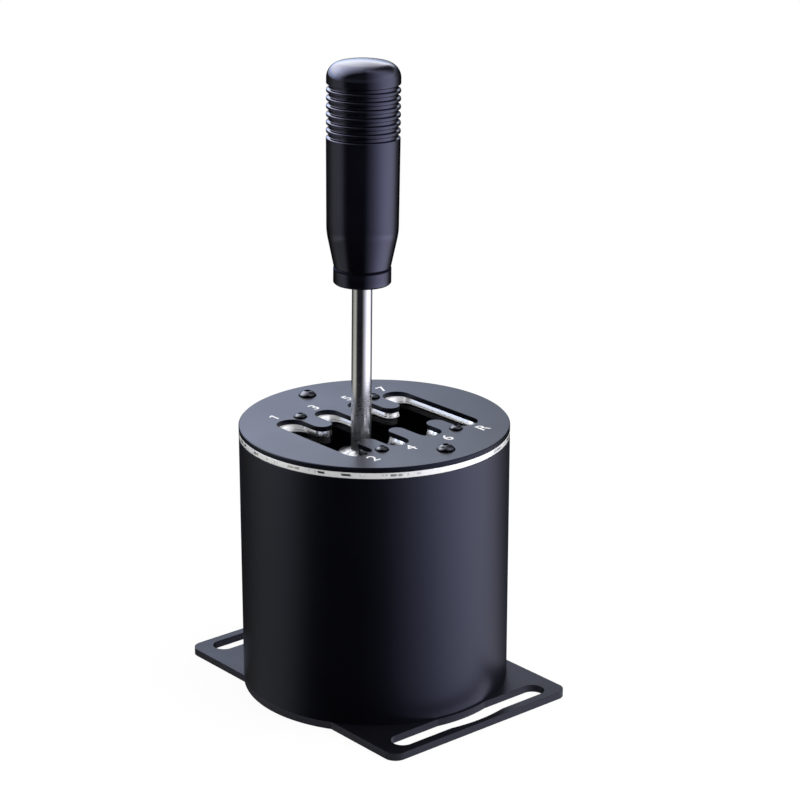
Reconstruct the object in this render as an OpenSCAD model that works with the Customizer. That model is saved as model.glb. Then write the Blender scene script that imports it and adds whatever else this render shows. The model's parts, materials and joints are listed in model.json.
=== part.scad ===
// Sim racing gear shifter: a lever in a seven-speed and reverse H gate on a round housing.
// Frame: +Z up, +Y ahead of the driver, +X to the driver's right. The origin is the middle
// of the base plate's underside, on the housing's axis. Millimetres and degrees.
// The lever stands in neutral between gears 3 and 4.

/* [Base plate] */
// Width of the base plate, left to right
base_w = 92; // [84:1:104]
// Thickness of the base plate
base_t = 3; // [3:0.5:6]
// Radius of the base plate's corners
base_corner_r = 5; // [2:0.5:8]
// Width of the two mounting slots
mount_slot_w = 9.2; // [6:0.2:11]
// Land between a mounting slot's end and the side of the plate
mount_end_land = 7; // [6:0.5:12]
// Land between a mounting slot's bulge and the end of the plate
mount_side_land = 2.5; // [2:0.5:8]
// How far a mounting slot's straight edge tucks under the housing
mount_tuck = 0.6; // [0:0.1:1.5]
// Gap between the housing and the slot's bulge around it
mount_relief = 0.8; // [0.4:0.1:1.5]

/* [Housing] */
// Outer diameter of the housing tube
tube_od = 108; // [106:1:130]
// Wall of the housing tube
tube_wall = 4; // [3:0.5:5]
// Length of the housing tube
tube_l = 102.5; // [95:0.5:130]
// Diameter of the two posts that tie the base plate to the gate
post_d = 10; // [9:0.5:12]
// Gap between a post and the tube's wall
post_gap = 1.9; // [0.5:0.1:3]

/* [Gate] */
// Thickness of the black gate plate on top
gate_t = 2; // [1.5:0.1:3]
// Thickness of the polished steel plate under it
wear_t = 2.5; // [1.5:0.1:3]
// How far the steel plate's lanes end short of the gate plate's
wear_lip = 2.8; // [0:0.1:2.8]
// Thickness of the washers between the steel plate and the buffer plate
washer_t = 1; // [0.6:0.1:1.6]
// Diameter of the washers on the gate screws
small_washer_d = 5.2; // [4.8:0.1:5.4]
// Diameter of the washers on the top screws
large_washer_d = 9; // [7:0.5:10]
// Thickness of the buffer plate inside the tube
buffer_t = 1.6; // [1.2:0.1:2.2]
// Gap between the buffer plate and the tube's wall
buffer_gap = 0.4; // [0.2:0.1:1]
// How far the buffer plate's tongues stand back from the leaning rod
buffer_relief = 1.6; // [1.4:0.1:1.8]
// Chamfer on the gate plate's rim
gate_chamfer = 0.3; // [0.1:0.1:0.8]
// Place of the gate's pattern ahead of the housing's axis
gate_shift = -2; // [-4:0.5:2]
// Lanes 3-4 and 5-6, from the middle
lane_inner = 8.5; // [8:0.1:9.5]
// Lanes 1-2 and 7-R, from the middle
lane_outer = 27.4; // [26.5:0.1:28]
// Width of the two inner lanes
inner_slot_w = 10.3; // [9.5:0.1:11]
// Width of the two outer lanes
outer_slot_w = 11.7; // [11.6:0.1:13]
// Reach of each lane, from neutral to its end
slot_reach = 26.3; // [25.5:0.1:28]
// Half of the neutral channel, at the tips of the two middle tongues
neutral_half = 8.6; // [6.5:0.1:9.5]
// The same at the two outer tongues on the far side
neutral_far = 9.4; // [6.5:0.1:10.5]
// The same at the two outer tongues on the driver's side
neutral_near = 11.4; // [8.2:0.1:12.5]
// Gate screws, to the sides of the pattern's middle
gate_screw_x = 19; // [18:0.5:20]
// Gate screws, ahead of and behind the pattern's middle
gate_screw_y = 25.5; // [24:0.5:28]

/* [Lever] */
// Diameter of the lever's rod
rod_d = 8; // [6:0.5:8]
// Lean of the resting lever to the driver's right
lever_lean = 0.9; // [0:0.1:1.5]
// Diameter of the hub's shank
hub_d = 14; // [12:0.5:16]
// Diameter of the collar at the hub's top
collar_d = 18; // [16:0.5:20]
// Thickness of the collar's rim
collar_t = 4; // [2:0.5:8]
// Rise of the collar's top towards the rod
collar_cone = 1.2; // [0.5:0.1:2]
// Drop from the buffer plate to the collar's rim
collar_drop = 3.1; // [2.8:0.1:8]
// Length of rod held in the hub
rod_grip = 30; // [20:1:36]

/* [Knob] */
// Diameter of the knob
knob_d = 28.5; // [27:0.5:34]
// Diameter of the grip's foot, above the taper
grip_foot_d = 28; // [26:0.5:28.5]
// Diameter of the knob's neck
neck_d = 22.6; // [18:0.2:24]
// Height of the knob above the gate plate
knob_gap = 59; // [45:1:90]
// Length of the neck
neck_l = 6.5; // [3:0.5:12]
// Step between the neck and the taper
neck_step = 0.25; // [0.1:0.05:0.5]
// Radius of the shoulder between the taper and the grip
shoulder_r = 26; // [10:1:40]
// Chamfer at the neck's foot
neck_chamfer = 0.6; // [0.2:0.1:1.5]
// Length of the taper above the neck
taper_l = 14; // [8:0.5:20]
// Length of the plain grip
grip_l = 36.6; // [25:0.2:50]
// Length of the cap above the grooves
cap_l = 8.8; // [8:0.2:14]
// Radius of the cap's edge
cap_r = 6; // [3:0.5:7]
// Rise of the cap's crown
crown = 0.8; // [0.3:0.1:1.5]
// Number of grooves round the grip
groove_count = 7; // [3:1:9]
// Distance from groove to groove
groove_pitch = 3.04; // [2.6:0.02:4]
// Depth of a groove
groove_depth = 1; // [0.5:0.1:1.5]
// Width of the ridge left between two grooves
ridge_w = 0.6; // [0.4:0.1:1]
// Width of each sloping side of a groove
groove_flank = 0.5; // [0.2:0.1:0.7]
// Diameter of the threaded insert in the knob
insert_d = 12; // [11:0.5:14]
// Length of the threaded insert
insert_l = 36; // [20:1:40]

/* [Gimbal] */
// Height of the pivot above the base plate
pivot_h = 32; // [31:0.5:36]
// Diameter of the shift axle and the select pins
axle_d = 8; // [6:0.5:9]
// Wall of the bushes
bush_wall = 1.5; // [1:0.1:2]
// Thickness of a bush's flange
bush_flange_t = 1.8; // [1:0.1:3]
// Width of a bush's flange round its wall
bush_flange_w = 1.5; // [1:0.1:2]
// Length of the hub's cross boss
hub_boss_l = 18; // [16:0.5:22]
// Diameter of the hub's cross boss
hub_boss_d = 15; // [13:0.5:17]
// Thickness of the cradle's sides, which hold the shift bushes
cradle_side_t = 6; // [5:0.5:8]
// Thickness of the cradle's ends, which hold the select pins
cradle_end_t = 3.5; // [3:0.5:6]
// Room from the pivot to the cradle's ends
cradle_room = 11; // [10.5:0.5:14]
// Height of the cradle's ring
cradle_h = 14; // [13:0.5:16]
// Length of the bosses round the select pins
pin_boss_l = 3; // [2:0.5:6]
// Diameter of the bosses round the select pins
pin_boss_d = 13; // [12:0.5:14]
// Thickness of the two pivot brackets
bracket_t = 5; // [4:0.5:6]
// Width of the pivot brackets
bracket_w = 26; // [24:1:30]
// Length of a bracket's foot
foot_l = 9.5; // [9.5:0.5:11]
// Thickness of a bracket's foot
foot_t = 6; // [6:0.5:9]
// Bracket screws, to the sides of the pivot
bracket_screw_x = 8; // [6:0.5:8.5]
// Length that a select pin stands proud of its bracket
pin_proud = 0.7; // [0.2:0.1:1]
// Length that the shift axle stands proud of the cradle
axle_proud = 0.35; // [0.1:0.05:1]

/* [Detent] */
// Radius of the hub's detent cam
cam_r = 16; // [15.5:0.5:17]
// Width of the detent cam
cam_w = 8; // [6:0.5:10]
// Spread of the cam to each side
cam_spread = 24; // [22:1:26]
// Turn of the lever from neutral into gear
shift_angle = 13.5; // [12:0.5:13.5]
// Radius of the cam's notches
notch_r = 1.8; // [1.7:0.1:2]
// Depth of the cam's notches
notch_depth = 0.8; // [0.7:0.1:1]
// Radius of the plunger's nose
nose_r = 1.6; // [1.2:0.1:1.6]
// Length of the plunger's nose
nose_l = 3.2; // [2.8:0.1:4]
// Diameter of the plunger's body
plunger_d = 6; // [5:0.5:7]
// Length of the plunger's body
plunger_l = 3.6; // [3:0.1:5]
// Travel of the plunger into a notch
plunger_travel = 0.8; // [0.4:0.1:0.8]
// Gap between the lifted plunger and the cam
detent_lift = 0.3; // [0.3:0.05:0.4]
// Length of the detent spring
detent_spring_l = 5; // [4.8:0.1:6]
// Wire of the detent spring
detent_wire = 0.6; // [0.4:0.1:0.7]
// Coils of the detent spring
detent_coils = 3.5; // [2.5:0.5:3.5]
// Width of the strap that carries the plunger
strap_w = 12; // [10:0.5:14]
// Floor under the detent spring
strap_floor = 1.4; // [1:0.1:2]
// Height of the strap's cross bar
strap_bar_h = 7.5; // [6:0.5:8]
// Wall of the plunger's guide
guide_wall = 2; // [1.2:0.1:3]

/* [Centring springs] */
// Distance from the pivot to each centring spring
ear_reach = 24; // [23:0.5:26]
// Length of an ear past its spring
ear_end = 5; // [4.5:0.5:6]
// Width of the ears
ear_w = 12; // [10:0.5:14]
// Thickness of the ears
ear_t = 4; // [3:0.5:5]
// Outer diameter of the centring springs
spring_d = 8; // [7:0.5:9]
// Wire of the centring springs
spring_wire = 1; // [0.8:0.1:1.2]
// Coils of the centring springs
spring_coils = 6; // [4:1:7]
// Diameter of the spring seats
seat_d = 12; // [10:0.5:12]
// Thickness of the spring seats
seat_t = 3; // [2:0.5:5]
// Diameter of the spigots inside the springs
spigot_d = 4.6; // [3.5:0.1:4.8]
// Length of the spigots inside the springs
spigot_l = 3; // [2:0.5:4]
// Diameter of the studs pressed into the base plate
stud_d = 3; // [2:0.5:4]
// Plate left under a pressed stud
stud_floor = 0.6; // [0.4:0.1:1]

/* [Electronics] */
// Length of the circuit board
board_l = 24; // [22:1:25]
// Width of the circuit board
board_w = 26; // [22:1:27]
// Thickness of the circuit board
board_t = 1.6; // [1:0.2:2]
// Height of the board above the base plate
board_lift = 5; // [4:0.5:8]
// Gap between the board and the tube's wall
board_gap = 3; // [2.5:0.5:5]
// Diameter of the board's spacers
spacer_d = 5; // [4.5:0.5:6]
// Distance of the spacers from the board's edges
spacer_inset = 3; // [2.5:0.5:4]
// Side of the processor
chip_w = 9; // [5:0.5:10]
// Thickness of the processor
chip_t = 1.4; // [0.8:0.2:2]
// Width of the data socket
socket_w = 12; // [11:0.5:14]
// Height of the data socket
socket_h = 11; // [10:0.5:13]
// Length of the data socket
socket_l = 16; // [14:0.5:18]
// Depth of the socket's face below the tube's skin
socket_inset = 0.8; // [0.5:0.1:2]
// Wall of the data socket
socket_wall = 1.7; // [1:0.1:2]
// Depth of the data socket's mouth
socket_mouth = 9; // [6:0.5:11]
// Gap round the socket in the tube's window
window_gap = 0.3; // [0.2:0.1:1]
// Diameter of the two sensor magnets
magnet_d = 5; // [3:0.5:5]
// Thickness of the two sensor magnets
magnet_t = 2.5; // [1.5:0.1:4]
// Width of a sensor's housing
sensor_w = 16; // [15:0.5:18]
// Height of a sensor's housing
sensor_h = 12; // [12:0.5:14]
// Thickness of a sensor's housing
sensor_t = 4.5; // [4:0.5:6]
// Depth of the pocket over the magnet in a sensor's housing
sensor_pocket = 2; // [1.6:0.1:2.4]

/* [Fasteners] */
// Thread of the post, bracket and set screws
m4_d = 4; // [3:0.5:4]
// Head of the two top screws
m4_head_d = 7.6; // [7:0.1:8.5]
// Height of the top screws' heads
m4_head_h = 2.2; // [1.5:0.1:3]
// Key of the top screws
m4_key = 2.5; // [2:0.1:3]
// Length of the top screws
m4_l = 12; // [10:1:20]
// Thread of the gate screws
m3_d = 3; // [2:0.5:3]
// Head of the gate screws
m3_head_d = 5.7; // [5:0.1:6.2]
// Height of the gate screws' heads
m3_head_h = 1.65; // [1.2:0.05:2.2]
// Key of the gate screws
m3_key = 2; // [1.5:0.1:2.2]
// Distance across a gate nut's flats
nut_af = 5.5; // [5:0.1:6]
// Thickness of a gate nut
nut_t = 2.4; // [2:0.1:3]
// Head of the countersunk base screws
csk_head_d = 8; // [7:0.1:8]
// Length of the base screws
csk_l = 8; // [7:0.5:8.5]
// Thread of the board screws
board_screw_d = 2.5; // [2:0.1:2.5]
// Head of the board screws
board_head_d = 4.4; // [4:0.1:4.6]
// Height of the board screws' heads
board_head_h = 1.5; // [1:0.1:2]

/* [Clearances] */
// Radial clearance of a turning shaft
run_gap = 0.05; // [0.03:0.01:0.08]
// Radial clearance of a pressed or glued piece
press_gap = 0.02; // [0.01:0.01:0.04]
// Radial clearance of a thread
thread_gap = 0.05; // [0.02:0.01:0.1]
// Radial clearance of a screw in a plain hole
hole_gap = 0.2; // [0.1:0.05:0.3]
// Clearance between faces that turn past each other
side_gap = 0.2; // [0.1:0.05:0.4]
// Clearance at the end of a spring
spring_gap = 0.15; // [0.1:0.05:0.3]

/* [Hidden] */
$fn = 96;
// Overshoot of a cut past the face that it leaves
over = 1;
// Share of a domed head's height left under its key
key_floor = 0.4;
// Corners of a hexagon
hex = 6;
hex_across = cos(30);
// Steps of a round corner that is drawn point by point
corner_steps = 8;
// Rings of a spring's mesh in one coil, and sides of its wire
rings_per_coil = 8;
wire_sides = 6;

// Levels, from the floor up
tube_top = base_t + tube_l;
wear_z = tube_top;
gate_z = wear_z + wear_t;
gate_top = gate_z + gate_t;
washer_z = tube_top - washer_t;
buffer_z = washer_z - buffer_t;
pivot_z = base_t + pivot_h;
knob_z = gate_top + knob_gap;

// Housing
tube_r = tube_od / 2;
tube_ir = tube_r - tube_wall;
post_r = post_d / 2;
post_y = tube_ir - post_gap - post_r;

// Mounting slots
mount_in_r = tube_r + mount_relief;
mount_out_r = mount_in_r + mount_slot_w;
mount_in_y = tube_r - mount_tuck;
mount_out_y = mount_in_y + mount_slot_w;
mount_bulge = sqrt(mount_out_r * mount_out_r - mount_out_y * mount_out_y);
mount_slot_l = base_w - 2 * mount_end_land;
base_l = 2 * (mount_out_r + mount_side_land);

// Gate: each lane's place and width, from the driver's left
lane_x = [-lane_outer, -lane_inner, lane_inner, lane_outer];
lane_w = [outer_slot_w, inner_slot_w, inner_slot_w, outer_slot_w];
gate_screw_places = [for (sx = [-1, 1], sy = [-1, 1]) [sx * gate_screw_x, gate_shift + sy * gate_screw_y]];

// Pivot: the resting rod crosses the gate in the middle of lane 3-4
pivot = [lane_x[1] - (gate_z - pivot_z) * tan(lever_lean), gate_shift, pivot_z];

// Lever, in heights above the pivot along the leaning rod
lean_cos = cos(lever_lean);
collar_top = (buffer_z - collar_drop - pivot_z) / lean_cos;
knob_at = (knob_z - pivot_z) / lean_cos;
rod_r = rod_d / 2;
hub_r = hub_d / 2;
rod_foot = collar_top - rod_grip;
rod_tip = knob_at + insert_l;
insert_depth = insert_l + over;
set_screw_at = collar_top - collar_t - m4_d;

// Gimbal, in distances from the pivot
axle_r = axle_d / 2;
bush_r = axle_r + run_gap + bush_wall;
bush_flange_r = bush_r + bush_flange_w;
cradle_in_x = hub_boss_l / 2 + side_gap + bush_flange_t;
cradle_out_x = cradle_in_x + cradle_side_t;
cradle_out_y = cradle_room + cradle_end_t;
pin_boss_y = cradle_out_y + pin_boss_l;
bracket_in_y = pin_boss_y + side_gap + bush_flange_t;
bracket_out_y = bracket_in_y + bracket_t;
pin_in_y = cradle_room + side_gap;
pin_out_y = bracket_out_y + pin_proud;
axle_end = cradle_out_x + axle_proud;
foot_out_y = bracket_out_y + foot_l;
bracket_screw_y = bracket_out_y + foot_l / 2;

// Detent, in depths below the pivot
plunger_tip = cam_r + detent_lift;
plunger_top = plunger_tip + nose_l;
plunger_foot = plunger_top + plunger_l;
plunger_r = plunger_d / 2;
detent_mean_r = plunger_r - detent_wire / 2 - side_gap;
detent_floor = plunger_foot + detent_spring_l;
strap_foot = detent_floor + strap_floor;
strap_top = strap_foot - strap_bar_h;
guide_top = plunger_top - plunger_travel - side_gap;
guide_r = plunger_r + run_gap + guide_wall;

// Centring springs
ear_foot = cradle_h / 2;
ear_out = ear_reach + ear_end;
seat_top = base_t + seat_t;
spring_mean_r = (spring_d - spring_wire) / 2;
stud_r = stud_d / 2;

// Electronics
board_x1 = tube_ir - board_gap;
board_x0 = board_x1 - board_l;
board_z = base_t + board_lift;
board_top = board_z + board_t;
spacer_places = [for (x = [board_x0 + spacer_inset, board_x1 - spacer_inset], sy = [-1, 1])
    [x, sy * (board_w / 2 - spacer_inset)]];
socket_x1 = tube_r - socket_inset;
socket_x0 = socket_x1 - socket_l;
chip_x = (board_x0 + socket_x0) / 2;

// Fasteners
m4_r = m4_d / 2;
m3_r = m3_d / 2;
stack_t = gate_t + wear_t + washer_t + buffer_t;
m3_l = stack_t + nut_t;
post_thread_l = m4_l + over - stack_t;
csk_head_h = (csk_head_d - m4_d) / 2;
csk_sink = thread_gap;
base_screw_places = [
    for (sy = [-1, 1]) [0, sy * post_y],
    for (sx = [-1, 1], sy = [-1, 1]) [pivot[0] + sx * bracket_screw_x, pivot[1] + sy * bracket_screw_y]
];

// Colours
black = [0.09, 0.09, 0.10];
gate_black = [0.16, 0.17, 0.20];
gloss_black = [0.04, 0.04, 0.05];
steel = [0.78, 0.79, 0.80];
bronze = [0.72, 0.52, 0.28];
brass = [0.80, 0.66, 0.32];
dark_steel = [0.25, 0.25, 0.27];
acetal = [0.92, 0.92, 0.90];
board_green = [0.05, 0.30, 0.16];

// The least room between the coils of a spring, measured on its points
centring_path = coil_path(spring_mean_r, spring_length(1) - spring_wire, spring_coils);
detent_path = coil_path(detent_mean_r, detent_spring_l - detent_wire, detent_coils);
echo(centring_spring_room = coil_room(centring_path) - spring_wire);
echo(detent_spring_room = coil_room(detent_path) - detent_wire);

// Shapes that repeat

module along_x() { rotate([0, 90, 0]) children(); }
module along_y() { rotate([-90, 0, 0]) children(); }
module mirror_copy(v) {
    children();
    mirror(v) children();
}
module at_pivot() { translate(pivot) children(); }
module on_lever() { at_pivot() rotate([0, lever_lean, 0]) children(); }

module rounded_rect(w, l, r) {
    square([w - 2 * r, l], center = true);
    square([w, l - 2 * r], center = true);
    for (sx = [-1, 1], sy = [-1, 1])
        translate([sx * (w / 2 - r), sy * (l / 2 - r)]) circle(r = r);
}

// A straight slot with round ends, along Y
module slot_2d(w, l) {
    square([w, l - w], center = true);
    for (s = [-1, 1]) translate([0, s * (l - w) / 2]) circle(d = w);
}

module holes(places, r) {
    for (p = places) translate(p) circle(r = r);
}

// A hole or a rod from z0 to z1
module round_bar(r, z0, z1) { translate([0, 0, z0]) cylinder(r = r, h = z1 - z0); }

module hex_bar(across, h) { cylinder(d = across / hex_across, h = h, $fn = hex); }

// A domed screw with a hexagon socket, its head's underside at z = 0
module button_screw(d, head_d, head_h, key, l) {
    dome_r = (head_d * head_d / 4 + head_h * head_h) / (2 * head_h);
    difference() {
        union() {
            rotate_extrude() intersection() {
                translate([0, head_h - dome_r]) circle(r = dome_r);
                square([head_d / 2, head_h]);
            }
            round_bar(d / 2, -l, over / 2);
        }
        translate([0, 0, head_h * key_floor]) hex_bar(key, head_h);
    }
}

// A flanged bush along Z: the flange below z = 0, the sleeve above it
module flanged_bush(l) {
    difference() {
        union() {
            round_bar(bush_flange_r, -bush_flange_t, 0);
            round_bar(bush_r, -bush_flange_t, l);
        }
        round_bar(axle_r + run_gap, -bush_flange_t - over, l + over);
    }
}

// A coil's centre line: a helix of radius r that climbs h
function coil_path(r, h, coils) = [
    for (i = [0 : coils * rings_per_coil])
        let (turn = i / rings_per_coil)
        [r * cos(360 * turn), r * sin(360 * turn), h * turn / coils]
];
function coil_room(path) = min([
    for (i = [0 : len(path) - 1])
        for (j = [i + rings_per_coil / 2 : len(path) - 1])
            norm(path[j] - path[i])
]);
function coil_ring(p, wire_r) = [
    for (k = [0 : wire_sides - 1])
        let (out = [p[0], p[1], 0] / norm([p[0], p[1]]), a = 360 * k / wire_sides)
        p + wire_r * (cos(a) * out + [0, 0, sin(a)])
];
// A spring of length l that stands on z = 0, as one unbroken tube
module coil_spring(r, l, coils, wire) {
    path = coil_path(r, l - wire, coils);
    n = len(path);
    points = [for (p = path) each coil_ring(p + [0, 0, wire / 2], wire / 2)];
    sides = [
        for (i = [0 : n - 2], k = [0 : wire_sides - 1])
            let (a = i * wire_sides + k, b = i * wire_sides + (k + 1) % wire_sides)
            each [[a, a + wire_sides, b], [b, a + wire_sides, b + wire_sides]]
    ];
    first = [for (k = [1 : wire_sides - 2]) [0, k, k + 1]];
    last = [for (k = [1 : wire_sides - 2]) [0, k + 1, k] + (n - 1) * wire_sides * [1, 1, 1]];
    polyhedron(points, concat(sides, first, last));
}

// Base plate and housing

module mount_slot_2d() {
    difference() {
        union() {
            translate([0, (mount_in_y + mount_out_y) / 2]) rotate(90) slot_2d(mount_slot_w, mount_slot_l);
            intersection() {
                circle(r = mount_out_r);
                translate([-mount_bulge, mount_in_y]) square([2 * mount_bulge, mount_out_r - mount_in_y]);
            }
        }
        circle(r = mount_in_r);
    }
}

module base_plate() {
    color(black) difference() {
        linear_extrude(base_t) difference() {
            union() {
                rounded_rect(base_w, base_l, base_corner_r);
                circle(r = tube_r);
            }
            mirror_copy([0, 1]) mount_slot_2d();
        }
        for (p = base_screw_places) translate(p) {
            round_bar(m4_r + hole_gap, -over, base_t + over);
            translate([0, 0, -over])
                cylinder(r1 = csk_head_d / 2 + hole_gap + over, r2 = m4_r + hole_gap,
                    h = csk_head_h + over);
        }
        for (p = stud_places()) translate(p) round_bar(stud_r + press_gap, stud_floor, base_t + over);
    }
}

module base_screws() {
    color(dark_steel) for (p = base_screw_places) translate([p[0], p[1], csk_sink]) difference() {
        union() {
            cylinder(r1 = csk_head_d / 2, r2 = m4_r, h = csk_head_h);
            round_bar(m4_r, csk_head_h / 2, csk_l);
        }
        translate([0, 0, -over]) hex_bar(m4_key, csk_head_h / 2 + over);
    }
}

module housing_tube() {
    color(black) difference() {
        round_bar(tube_r, base_t, tube_top);
        round_bar(tube_ir, base_t - over, tube_top + over);
        translate([socket_x0, -socket_w / 2 - window_gap, board_top - window_gap])
            cube([socket_l + tube_wall, socket_w + 2 * window_gap, socket_h + 2 * window_gap]);
    }
}

module support_posts() {
    color(steel) for (sy = [-1, 1]) translate([0, sy * post_y, 0]) difference() {
        round_bar(post_r, base_t, buffer_z);
        round_bar(m4_r + thread_gap, base_t - over, base_t + csk_l);
        round_bar(m4_r + thread_gap, buffer_z - post_thread_l, buffer_z + over);
    }
}

// Gate

// The gate's opening: four lanes and the neutral channel, with round tongues between the lanes.
// A lip shortens the lanes, and a relief sets the tongues back from the rod where it leans over them.
module gate_opening(lip, relief) {
    lean = [for (x = lane_x) relief * sign(pivot[0] - x)];
    translate([0, gate_shift]) {
        for (i = [0 : 3]) {
            for (x = relief > 0 ? [0, lean[i]] : [0])
                translate([lane_x[i] + x, 0]) slot_2d(lane_w[i], 2 * (slot_reach - lip));
        }
        for (i = [0 : 2]) {
            left = lane_x[i] + lane_w[i] / 2 + max(lean[i], 0);
            right = lane_x[i + 1] - lane_w[i + 1] / 2 + min(lean[i + 1], 0);
            tongue_r = (right - left) / 2;
            far_y = (i == 1 ? neutral_half : neutral_far) + tongue_r;
            near_y = (i == 1 ? neutral_half : neutral_near) + tongue_r;
            difference() {
                translate([lane_x[i], -near_y]) square([lane_x[i + 1] - lane_x[i], near_y + far_y]);
                for (y = [-near_y, far_y]) translate([(left + right) / 2, y]) circle(r = tongue_r);
            }
        }
    }
}

module gate_disc(r, t, lip, relief) {
    linear_extrude(t) difference() {
        circle(r = r);
        gate_opening(lip, relief);
        holes([[0, post_y], [0, -post_y]], m4_r + hole_gap);
        holes(gate_screw_places, m3_r + hole_gap);
    }
}

module buffer_plate() {
    color(black) translate([0, 0, buffer_z]) gate_disc(tube_ir - buffer_gap, buffer_t, 0, buffer_relief);
}

// Washers that keep the buffer plate off the steel plate
module gate_washers() {
    color(steel) {
        for (p = gate_screw_places) translate(p) difference() {
            round_bar(small_washer_d / 2, washer_z, tube_top);
            round_bar(m3_r + hole_gap, washer_z - over, tube_top + over);
        }
        for (sy = [-1, 1]) translate([0, sy * post_y, 0]) difference() {
            round_bar(large_washer_d / 2, washer_z, tube_top);
            round_bar(m4_r + hole_gap, washer_z - over, tube_top + over);
        }
    }
}

module wear_plate() {
    color(steel) translate([0, 0, wear_z]) gate_disc(tube_r, wear_t, wear_lip, 0);
}

module gate_plate() {
    color(gate_black) translate([0, 0, gate_z]) difference() {
        gate_disc(tube_r, gate_t, 0, 0);
        rotate_extrude() polygon([
            [tube_r - gate_chamfer, gate_t],
            [tube_r, gate_t - gate_chamfer],
            [tube_r + over, gate_t - gate_chamfer],
            [tube_r + over, gate_t + over],
            [tube_r - gate_chamfer, gate_t + over]
        ]);
    }
}

module top_screws() {
    color(dark_steel) for (sy = [-1, 1]) translate([0, sy * post_y, gate_top])
        button_screw(m4_d, m4_head_d, m4_head_h, m4_key, m4_l);
}

module gate_screws() {
    color(dark_steel) for (p = gate_screw_places) translate([p[0], p[1], gate_top])
        button_screw(m3_d, m3_head_d, m3_head_h, m3_key, m3_l);
}

module gate_nuts() {
    color(steel) for (p = gate_screw_places) translate([p[0], p[1], buffer_z - nut_t]) difference() {
        hex_bar(nut_af, nut_t);
        round_bar(m3_r + thread_gap, -over, nut_t + over);
    }
}

// Pivot brackets and what they carry

// A bracket ahead of the pivot: an upright with a round head, and a foot
module pivot_bracket() {
    translate([pivot[0], pivot[1], 0]) difference() {
        union() {
            translate([-bracket_w / 2, bracket_in_y, base_t]) cube([bracket_w, bracket_t, pivot_h]);
            translate([0, bracket_in_y, pivot_z]) along_y() round_bar(bracket_w / 2, 0, bracket_t);
            translate([-bracket_w / 2, bracket_in_y, base_t]) cube([bracket_w, bracket_t + foot_l, foot_t]);
        }
        translate([0, 0, pivot_z]) along_y()
            round_bar(bush_r + press_gap, bracket_in_y - over, bracket_out_y + over);
        for (sx = [-1, 1]) translate([sx * bracket_screw_x, bracket_screw_y, 0])
            round_bar(m4_r + thread_gap, base_t - over, base_t + foot_t + over);
    }
}

// The same shape behind the pivot
module behind_pivot() {
    translate([0, pivot[1], 0]) mirror([0, 1, 0]) translate([0, -pivot[1], 0]) children();
}

module rear_bracket() { color(dark_steel) behind_pivot() pivot_bracket(); }
module front_bracket() { color(dark_steel) pivot_bracket(); }

module select_bushes() {
    color(bronze) at_pivot() mirror_copy([0, 1, 0])
        translate([0, bracket_in_y, 0]) along_y() flanged_bush(bracket_t);
}

// A sensor's housing that stands on z = 0, with a pocket over the magnet at y = 0
module sensor_case(middle_y) {
    difference() {
        translate([-sensor_w / 2, middle_y - sensor_h / 2, 0]) cube([sensor_w, sensor_h, sensor_t]);
        round_bar(bush_r, -over, sensor_pocket);
    }
}

module select_sensor() {
    color(black) at_pivot() translate([0, bracket_out_y, 0]) along_y() sensor_case(0);
}

// Centring springs, between the base plate and the cradle's ears

function seat_x(side) = pivot[0] + side * ear_reach;
function stud_places() = concat([for (s = [-1, 1]) [seat_x(s), pivot[1]]], spacer_places);
// Height under a leaning ear, over its spring
function ear_height(side) = pivot_z - ear_foot * lean_cos - side * ear_reach * sin(lever_lean);
function spring_length(side) = ear_height(side) - seat_top - spring_gap;

module spring_seats() {
    color(dark_steel) for (s = [-1, 1]) translate([seat_x(s), pivot[1], 0]) {
        round_bar(seat_d / 2, base_t, seat_top);
        round_bar(spigot_d / 2, base_t, seat_top + spigot_l);
        round_bar(stud_r, stud_floor, base_t + over);
    }
}

module centring_spring(side) {
    color(steel) translate([seat_x(side), pivot[1], seat_top])
        coil_spring(spring_mean_r, spring_length(side), spring_coils, spring_wire);
}
module left_centring_spring() { centring_spring(-1); }
module right_centring_spring() { centring_spring(1); }

// Electronics

module circuit_board() {
    color(board_green) translate([0, 0, board_z]) linear_extrude(board_t) difference() {
        translate([board_x0, -board_w / 2]) square([board_l, board_w]);
        holes(spacer_places, board_screw_d / 2 + hole_gap);
    }
}

module board_spacers() {
    color(brass) for (p = spacer_places) translate(p) difference() {
        union() {
            round_bar(spacer_d / 2, base_t, board_z);
            round_bar(stud_r, stud_floor, base_t + over);
        }
        round_bar(board_screw_d / 2 + thread_gap, base_t + over, board_z + over);
    }
}

module board_screws() {
    color(steel) for (p = spacer_places) translate([p[0], p[1], board_top]) {
        round_bar(board_head_d / 2, 0, board_head_h);
        round_bar(board_screw_d / 2, -board_t - board_lift / 2, over);
    }
}

module processor_chip() {
    color(gloss_black) translate([chip_x - chip_w / 2, -chip_w / 2, board_top])
        cube([chip_w, chip_w, chip_t]);
}

// A square data socket whose mouth faces +X, with a contact tongue
module data_socket() {
    tongue_w = socket_w / 2;
    tongue_h = socket_h / 4;
    mouth_w = socket_w - 2 * socket_wall;
    mouth_h = socket_h - 2 * socket_wall;
    color(steel) translate([0, 0, board_top]) {
        difference() {
            translate([socket_x0, -socket_w / 2, 0]) cube([socket_l, socket_w, socket_h]);
            translate([socket_x1 - socket_mouth, -mouth_w / 2, socket_wall])
                cube([socket_mouth + over, mouth_w, mouth_h]);
        }
        translate([socket_x0 + over, -tongue_w / 2, (socket_h - tongue_h) / 2])
            cube([socket_l - 2 * over, tongue_w, tongue_h]);
    }
}

// Cradle, which turns about Y to choose a lane

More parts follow.
